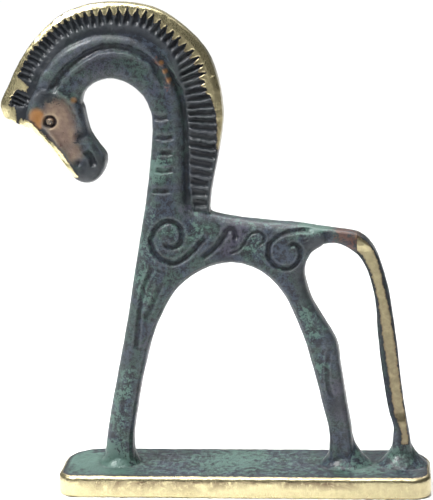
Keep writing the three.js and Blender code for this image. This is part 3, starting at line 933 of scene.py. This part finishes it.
@dataclass
class Board:
    """A node tree, with short calls that place nodes and link them."""

    tree: bpy.types.NodeTree

    def put(self, kind: str, *, inputs: dict[str | int, object] | None = None,
            **settings: object) -> bpy.types.Node:
        """Places a node.

        Args:
            kind: the node's type name.
            inputs: a value or another node's output for each named or numbered input.
            settings: the node's own settings.

        Returns:
            The new node.
        """
        node = self.tree.nodes.new(kind)
        for name, value in settings.items():
            setattr(node, name, value)
        for name, value in (inputs or {}).items():
            if isinstance(value, bpy.types.NodeSocket):
                self.tree.links.new(value, node.inputs[name])
            else:
                node.inputs[name].default_value = value
        return node

    def sum(self, operation: str, first: object, second: object = 0.5) -> bpy.types.NodeSocket:
        """Works out one operation on two numbers."""
        return self.put("ShaderNodeMath", operation=operation, inputs={0: first, 1: second}).outputs[0]

    def ease(self, value: object, low: float, high: float, top: float = 1.0) -> bpy.types.NodeSocket:
        """Rises smoothly from 0 where a value is low to top where it is high."""
        inputs = {"Value": value, "From Min": low, "From Max": high, "To Min": 0.0, "To Max": top}
        return self.put("ShaderNodeMapRange", interpolation_type="SMOOTHSTEP",
                        inputs=inputs).outputs[0]

    def blend(self, factor: object, first: object, second: object) -> bpy.types.NodeSocket:
        """Mixes two colours."""
        inputs = {0: factor, 6: first, 7: second}
        return self.put("ShaderNodeMix", data_type="RGBA", inputs=inputs).outputs[2]

    def between(self, factor: object, first: object, second: object) -> bpy.types.NodeSocket:
        """Mixes two numbers."""
        inputs = {0: factor, 2: first, 3: second}
        return self.put("ShaderNodeMix", data_type="FLOAT", inputs=inputs).outputs[0]

    def noise(self, vector: object, scale: float, detail: float = 3.0, roughness: float = 0.55,
              distortion: float = 0.0) -> bpy.types.NodeSocket:
        """Gives a cloudy number between 0 and 1."""
        inputs = {"Vector": vector, "Scale": scale, "Detail": detail, "Roughness": roughness,
                  "Distortion": distortion}
        return self.put("ShaderNodeTexNoise", inputs=inputs).outputs["Fac"]

    def mask(self, name: str) -> bpy.types.NodeSocket:
        """Reads one of the piece's own masks."""
        return self.put("ShaderNodeAttribute", attribute_name=name).outputs["Fac"]

    def use(self, group: bpy.types.NodeTree, **inputs: object) -> bpy.types.Node:
        """Places a node group and feeds it."""
        node = self.put("ShaderNodeGroup", node_tree=group)
        for name, value in inputs.items():
            self.tree.links.new(value, node.inputs[name])
        return node


def start_group(name: str, inputs: dict[str, str],
                outputs: dict[str, str]) -> tuple[Board, bpy.types.Node, bpy.types.Node]:
    """Starts a node group with its sockets.

    Args:
        name: the group's name.
        inputs: each input's name and kind, such as Float, Color or Vector.
        outputs: each output's name and kind.

    Returns:
        A board to place nodes on, the group's input node and its output node.
    """
    tree = bpy.data.node_groups.new(name, "ShaderNodeTree")
    for direction, sockets in (("INPUT", inputs), ("OUTPUT", outputs)):
        for label, kind in sockets.items():
            tree.interface.new_socket(name=label, in_out=direction, socket_type=f"NodeSocket{kind}")
    return Board(tree), tree.nodes.new("NodeGroupInput"), tree.nodes.new("NodeGroupOutput")


def finish_group(board: Board, out: bpy.types.Node, **results: bpy.types.NodeSocket) -> bpy.types.NodeTree:
    """Links a group's results to its outputs and returns the group."""
    for name, socket in results.items():
        board.tree.links.new(socket, out.inputs[name])
    return board.tree


Colour = tuple[float, float, float, float]


@dataclass(frozen=True)
class CastSkin:
    """The clouds, mottles, specks and pits of a sand-cast surface, in millimetres."""

    blotch: float = 0.2
    mottle: float = 0.75
    speck: float = 3.0

    def group(self) -> bpy.types.NodeTree:
        """Makes the group that gives the pattern's values from a place in millimetres."""
        outputs = {name: "Float" for name in ("Blotch", "Mottle", "Speck", "Height", "Scratch")}
        board, start, out = start_group("cast_skin", {"Place": "Vector"}, outputs)
        place = start.outputs["Place"]
        blotch = board.noise(place, self.blotch, 5, 0.6, 0.5)
        mottle = board.noise(place, self.mottle, 5, 0.62, 0.3)
        speck = board.noise(place, self.speck, 3, 0.6)
        cells = board.put("ShaderNodeTexVoronoi", inputs={"Vector": place, "Scale": 0.55})
        pits = board.ease(cells.outputs["Distance"], 0.16, 0.0)
        lumps = board.noise(place, 1.4, 4, 0.6)
        height = board.sum("SUBTRACT", lumps, board.sum("MULTIPLY", pits, 0.6))
        height = board.sum("ADD", height, board.sum("MULTIPLY", speck, 0.35))
        stretched = board.put("ShaderNodeVectorMath", operation="MULTIPLY",
                              inputs={0: place, 1: (2.2, 2.2, 0.35)}).outputs[0]
        scratch = board.noise(stretched, 3.0, 2, 0.7, 0.2)
        return finish_group(board, out, Blotch=blotch, Mottle=mottle, Speck=speck, Height=height,
                            Scratch=scratch)


@dataclass(frozen=True)
class Patina:
    """The mottled green, grey and violet skin, with painted shade and painted highlights among its tints.
    """

    dark: Colour = (0.014, 0.016, 0.020, 1)
    teal: Colour = (0.044, 0.074, 0.064, 1)
    slate: Colour = (0.042, 0.054, 0.078, 1)
    violet: Colour = (0.050, 0.042, 0.066, 1)
    verdigris: Colour = (0.08, 0.145, 0.12, 1)
    copper: Colour = (0.115, 0.055, 0.042, 1)
    amber_and_glint: Colour = (0.40, 0.19, 0.065, 1)
    blush: Colour = (0.21, 0.145, 0.115, 1)
    gold: Colour = (0.45, 0.33, 0.20, 1)
    pale: Colour = (0.25, 0.27, 0.28, 1)
    shaded: float = 0.92
    middle: float = 0.75
    raggedness: float = 2.4
    worn_metal: float = 0.6
    copper_metal: float = 0.5

    def group(self) -> bpy.types.NodeTree:
        """Makes the group that gives the patina's colour and how dull it is."""
        names = ("Blotch", "Mottle", "Speck", "Hollow", "Rub", "Up", "Verdigris", "Violet", "Soot_And_Shade",
                 "Copper", "Amber_And_Glint", "Blush", "Border")
        inputs = {name: "Float" for name in names}
        outputs = {"Colour": "Color", "Dullness": "Float", "Metal": "Float"}
        board, start, out = start_group("patina", inputs, outputs)
        value = start.outputs
        uneven = board.sum("ADD", value["Mottle"], board.sum("MULTIPLY", value["Speck"], 0.5))
        colour = board.blend(board.ease(value["Blotch"], 0.42, 0.6), self.slate, self.teal)
        shade = board.ease(uneven, 0.86, 0.62)
        colour = board.blend(board.sum("MULTIPLY", shade, self.shaded), colour, self.dark)
        colour = board.blend(self._patch(board, value["Violet"], uneven, 0.75), colour, self.violet)
        # Faces that look up take more of the light verdigris: partly verdigris settled on the tops, partly
        # painted top light.
        green = board.sum("ADD", value["Verdigris"], board.sum("MULTIPLY", value["Up"], 0.3))
        green = board.sum("ADD", green, 0.06)
        colour = board.blend(self._patch(board, green, uneven, 0.85), colour, self.verdigris)
        worn = board.ease(value["Blush"], 0.15, 0.75, 0.95)
        # Convex ridges in the worn face turn gold: wear, and painted golden highlights.
        bronze = board.blend(board.sum("MULTIPLY", value["Rub"], 0.7), self.blush, self.gold)
        colour = board.blend(worn, colour, bronze)
        copper = self._patch(board, value["Copper"], uneven, 0.9)
        colour = board.blend(copper, colour, self.copper)
        # Amber: the face's worn orange, and painted orange highlights on the ridges.
        amber_and_glint = board.ease(value["Amber_And_Glint"], 0.2, 0.8, 0.9)
        colour = board.blend(amber_and_glint, colour, self.amber_and_glint)
        # Darkens to near black under the dark tint: dark patina, and painted shade in the valleys, under
        # the belly and muzzle and in the eye, dimple and mouth.
        colour = board.blend(self._patch(board, value["Soot_And_Shade"], uneven, 0.88), colour, self.dark)
        colour = board.blend(board.sum("MULTIPLY", value["Hollow"], 0.8), colour, self.dark)
        # Convex edges are lightened: worn patina, and a painted highlight along the edges.
        colour = board.blend(board.sum("MULTIPLY", value["Rub"], 0.12), colour, self.pale)
        colour = board.blend(value["Border"], colour, self.dark)
        dull = board.ease(uneven, 0.45, 0.95)
        metal = board.sum("MULTIPLY", board.sum("MAXIMUM", worn, amber_and_glint), self.worn_metal)
        metal = board.sum("MAXIMUM", metal, board.sum("MULTIPLY", copper, self.copper_metal))
        return finish_group(board, out, Colour=colour, Dullness=dull, Metal=metal)

    def _patch(self, board: Board, amount: object, uneven: object,
               most: float) -> bpy.types.NodeSocket:
        """Breaks a soft patch up along the mottles, with crisp ragged edges."""
        mottled = board.sum("SUBTRACT", uneven, self.middle)
        broken = board.sum("ADD", amount, board.sum("MULTIPLY", mottled, self.raggedness))
        return board.sum("MULTIPLY", board.ease(broken, 0.4, 0.72, most),
                         board.ease(amount, 0.02, 0.25))


@dataclass(frozen=True)
class BareMetal:
    """Where the metal is ground through to brass, and the brown line at its edge."""

    ragged: float = 0.7
    stain_reach: float = 0.45

    def group(self) -> bpy.types.NodeTree:
        """Makes the group that gives the bared metal's mask and its stained edge."""
        inputs = {name: "Float" for name in ("Ground", "Mottle", "Speck", "Stain")}
        outputs = {name: "Float" for name in ("Bare", "Stained", "Border")}
        board, start, out = start_group("bare_metal", inputs, outputs)
        value = start.outputs
        uneven = board.sum("SUBTRACT", board.sum("ADD", value["Mottle"], value["Speck"]), 1.0)
        edge = board.sum("ADD", value["Ground"], board.sum("MULTIPLY", uneven, self.ragged))
        bare = board.ease(edge, -0.05, 0.08)
        near = board.ease(edge, self.stain_reach, 0.0, 0.55)
        stained = board.sum("MAXIMUM", near, board.sum("MULTIPLY", value["Stain"],
                                                       board.ease(value["Mottle"], 0.3, 0.5)))
        border = board.ease(edge, -1.3, -0.2, 0.85)
        return finish_group(board, out, Bare=bare, Stained=stained, Border=border)


@dataclass(frozen=True)
class Brass:
    """Bared brass, pale where it is fresh and olive or brown where it has tarnished."""

    fresh: Colour = (0.80, 0.71, 0.41, 1)
    tarnished: Colour = (0.185, 0.155, 0.095, 1)
    stained: Colour = (0.11, 0.065, 0.045, 1)

    def group(self) -> bpy.types.NodeTree:
        """Makes the group that gives the brass's colour and roughness."""
        inputs = {name: "Float" for name in ("Tarnish", "Stained", "Mottle", "Speck", "Scratch")}
        board, start, out = start_group("brass", inputs, {"Colour": "Color", "Roughness": "Float"})
        value = start.outputs
        clouds = board.sum("MULTIPLY", board.sum("SUBTRACT", value["Mottle"], 0.5), 0.5)
        tarnish = board.sum("ADD", value["Tarnish"], clouds)
        tarnish = board.put("ShaderNodeClamp", inputs={"Value": tarnish}).outputs[0]
        colour = board.blend(tarnish, self.fresh, self.tarnished)
        specks = board.ease(value["Speck"], 0.34, 0.24, 0.7)
        colour = board.blend(board.sum("MAXIMUM", value["Stained"], specks), colour, self.stained)
        rough = board.ease(value["Scratch"], 0.3, 0.7, 0.16)
        rough = board.sum("ADD", rough, board.between(tarnish, 0.2, 0.3))
        return finish_group(board, out, Colour=colour, Roughness=rough)


@dataclass(frozen=True)
class BronzeFinish:
    """The horse's one material: patina, with brass where it is ground away."""

    skin: CastSkin = CastSkin()
    patina: Patina = Patina()
    bare: BareMetal = BareMetal()
    brass: Brass = Brass()
    least_roughness: float = 0.27
    most_roughness: float = 0.46
    bump: float = 0.16
    specular: float = 0.25
    coat: float = 0.12
    coat_roughness: float = 0.14

    def dress(self, piece: bpy.types.Object) -> None:
        """Builds the material and puts it on a piece."""
        paint = bpy.data.materials.new(SLOT)
        paint.use_nodes = True
        board = Board(paint.node_tree)
        shader = paint.node_tree.nodes["Principled BSDF"]
        object_place = board.put("ShaderNodeTexCoord").outputs["Object"]
        place = board.put("ShaderNodeVectorMath", operation="SCALE",
                          inputs={0: object_place, "Scale": 1 / MM}).outputs[0]
        skin = board.use(self.skin.group(), Place=place).outputs
        # The upward share of each face's normal, used to paint the tops lighter and greener as a painted
        # top light.
        normal = board.put("ShaderNodeNewGeometry").outputs["Normal"]
        height = board.put("ShaderNodeSeparateXYZ", inputs={0: normal}).outputs["Z"]
        bare = board.use(self.bare.group(), Ground=board.mask("ground"), Mottle=skin["Mottle"],
                         Speck=skin["Speck"], Stain=board.mask("stain")).outputs
        tints = {tint.value.title(): board.mask(tint.value) for tint in Tint}
        patina = board.use(self.patina.group(), Blotch=skin["Blotch"], Mottle=skin["Mottle"],
                           Speck=skin["Speck"], Hollow=board.mask("hollow"), Rub=board.mask("rub_and_sheen"),
                           Up=board.ease(height, 0.2, 0.9), Border=bare["Border"], **tints).outputs
        brass = board.use(self.brass.group(), Tarnish=board.mask("tarnish"), Stained=bare["Stained"],
                          Mottle=skin["Mottle"], Speck=skin["Speck"], Scratch=skin["Scratch"]).outputs
        rough = board.between(patina["Dullness"], self.least_roughness, self.most_roughness)
        height = board.sum("MULTIPLY", skin["Height"], board.between(bare["Bare"], 1.0, 0.12))
        links = {
            "Base Color": board.blend(bare["Bare"], patina["Colour"], brass["Colour"]),
            "Metallic": board.between(bare["Bare"], board.sum("ADD", patina["Metal"], 0.08), 1.0),
            "Roughness": board.between(bare["Bare"], rough, brass["Roughness"]),
            "Normal": board.put("ShaderNodeBump", inputs={
                "Strength": 1.0, "Distance": self.bump * MM, "Height": height}).outputs[0],
        }
        for name, socket in links.items():
            board.tree.links.new(socket, shader.inputs[name])
        shader.inputs["Specular IOR Level"].default_value = self.specular
        shader.inputs["Coat Weight"].default_value = self.coat
        shader.inputs["Coat Roughness"].default_value = self.coat_roughness
        piece.data.materials.append(paint)


@dataclass(frozen=True)
class Lamp:
    """One soft rectangular light: places and size in metres, power in watts, spread in degrees."""

    name: str
    spot: tuple[float, float, float]
    aim: tuple[float, float, float]
    size: tuple[float, float]
    power: float
    spread: float

    def hang(self) -> None:
        """Makes the light and turns it to its aim."""
        data = bpy.data.lights.new(self.name, "AREA")
        data.shape = "RECTANGLE"
        data.size, data.size_y = self.size
        data.energy = self.power
        data.spread = math.radians(self.spread)
        light = bpy.data.objects.new(self.name, data)
        bpy.context.scene.collection.objects.link(light)
        way = Vector(self.aim) - Vector(self.spot)
        turn = way.to_track_quat("-Z", "Y").to_matrix().to_4x4()
        light.matrix_world = Matrix.Translation(self.spot) @ turn


LAMPS = (
    Lamp("key", spot=(-0.4, -0.3, 0.6), aim=(0, 0, 0.05), size=(0.3, 0.2), power=0.68, spread=50),
    Lamp("strip", spot=(-0.05, -0.2, 0.75), aim=(0, 0, 0.04), size=(0.6, 0.14), power=0.52, spread=60),
    Lamp("overhead", spot=(0.0, 0.25, 0.8), aim=(0, 0.08, 0), size=(0.7, 0.5), power=1.6, spread=120),
    Lamp("backdrop", spot=(0.0, 1.4, 1.5), aim=(0, 1.1, 0), size=(2.4, 1.6), power=38.0, spread=180),
)


@dataclass
class Stage:
    """The pale floor, the soft light and the camera. Distance, aim and lens are in millimetres."""

    distance: float = 550.0
    azimuth: float = 5.0
    elevation: float = 12.5
    roll: float = -1.166
    aim: tuple[float, float, float] = (-6.54, 0.0, 62.0)
    lens: float = 156.1
    sensor: float = 36.0
    floor_size: float = 8000.0
    floor_drop: float = 0.05
    floor_tone: Colour = (0.94, 0.94, 0.94, 1)
    floor_roughness: float = 0.8
    world_tone: Colour = (0.95, 0.98, 1, 1)
    world_strength: float = 0.12

    def build(self) -> None:
        """Sets the camera, the floor, the lights and the world."""
        self._camera()
        self._floor()
        self._world()
        for lamp in LAMPS:
            lamp.hang()

    def _camera(self) -> None:
        """Stands the camera where the photograph was taken from."""
        a, e, r = (math.radians(angle) for angle in (self.azimuth, self.elevation, self.roll))
        back = Vector((math.sin(a) * math.cos(e), -math.cos(a) * math.cos(e), math.sin(e)))
        data = bpy.data.cameras.new("camera")
        data.lens = self.lens
        data.sensor_width = self.sensor
        camera = bpy.data.objects.new("camera", data)
        bpy.context.scene.collection.objects.link(camera)
        turn = (-back).to_track_quat("-Z", "Y").to_matrix().to_4x4() @ Matrix.Rotation(r, 4, "Z")
        spot = (Vector(self.aim) + back * self.distance) * MM
        camera.matrix_world = Matrix.Translation(spot) @ turn
        data.clip_start, data.clip_end = 0.01, 10
        bpy.context.scene.camera = camera

    def _floor(self) -> None:
        """Lays a plain pale floor under the plinth."""
        select_nothing()
        bpy.ops.mesh.primitive_plane_add(size=self.floor_size * MM, location=(0, 0, -self.floor_drop * MM))
        floor = bpy.context.object
        floor.name = "floor"
        paint = bpy.data.materials.new("floor")
        paint.use_nodes = True
        shader = paint.node_tree.nodes["Principled BSDF"]
        shader.inputs["Base Color"].default_value = self.floor_tone
        shader.inputs["Roughness"].default_value = self.floor_roughness
        floor.data.materials.append(paint)

    def _world(self) -> None:
        """Fills the shadows in with a pale world."""
        world = bpy.data.worlds.new("world")
        world.use_nodes = True
        background = world.node_tree.nodes["Background"]
        background.inputs["Color"].default_value = self.world_tone
        background.inputs["Strength"].default_value = self.world_strength
        bpy.context.scene.world = world


def main() -> None:
    """Builds the casting and its stage, and reports what was made."""
    logging.basicConfig(level=logging.INFO, format="%(name)s: %(message)s")
    bpy.context.scene.view_settings.view_transform = "Standard"
    Stage().build()
    horse = Casting().build()
    BronzeFinish().dress(horse)
    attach(horse, "root")
    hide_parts(NODE)


if __name__ == "__main__":
    main()
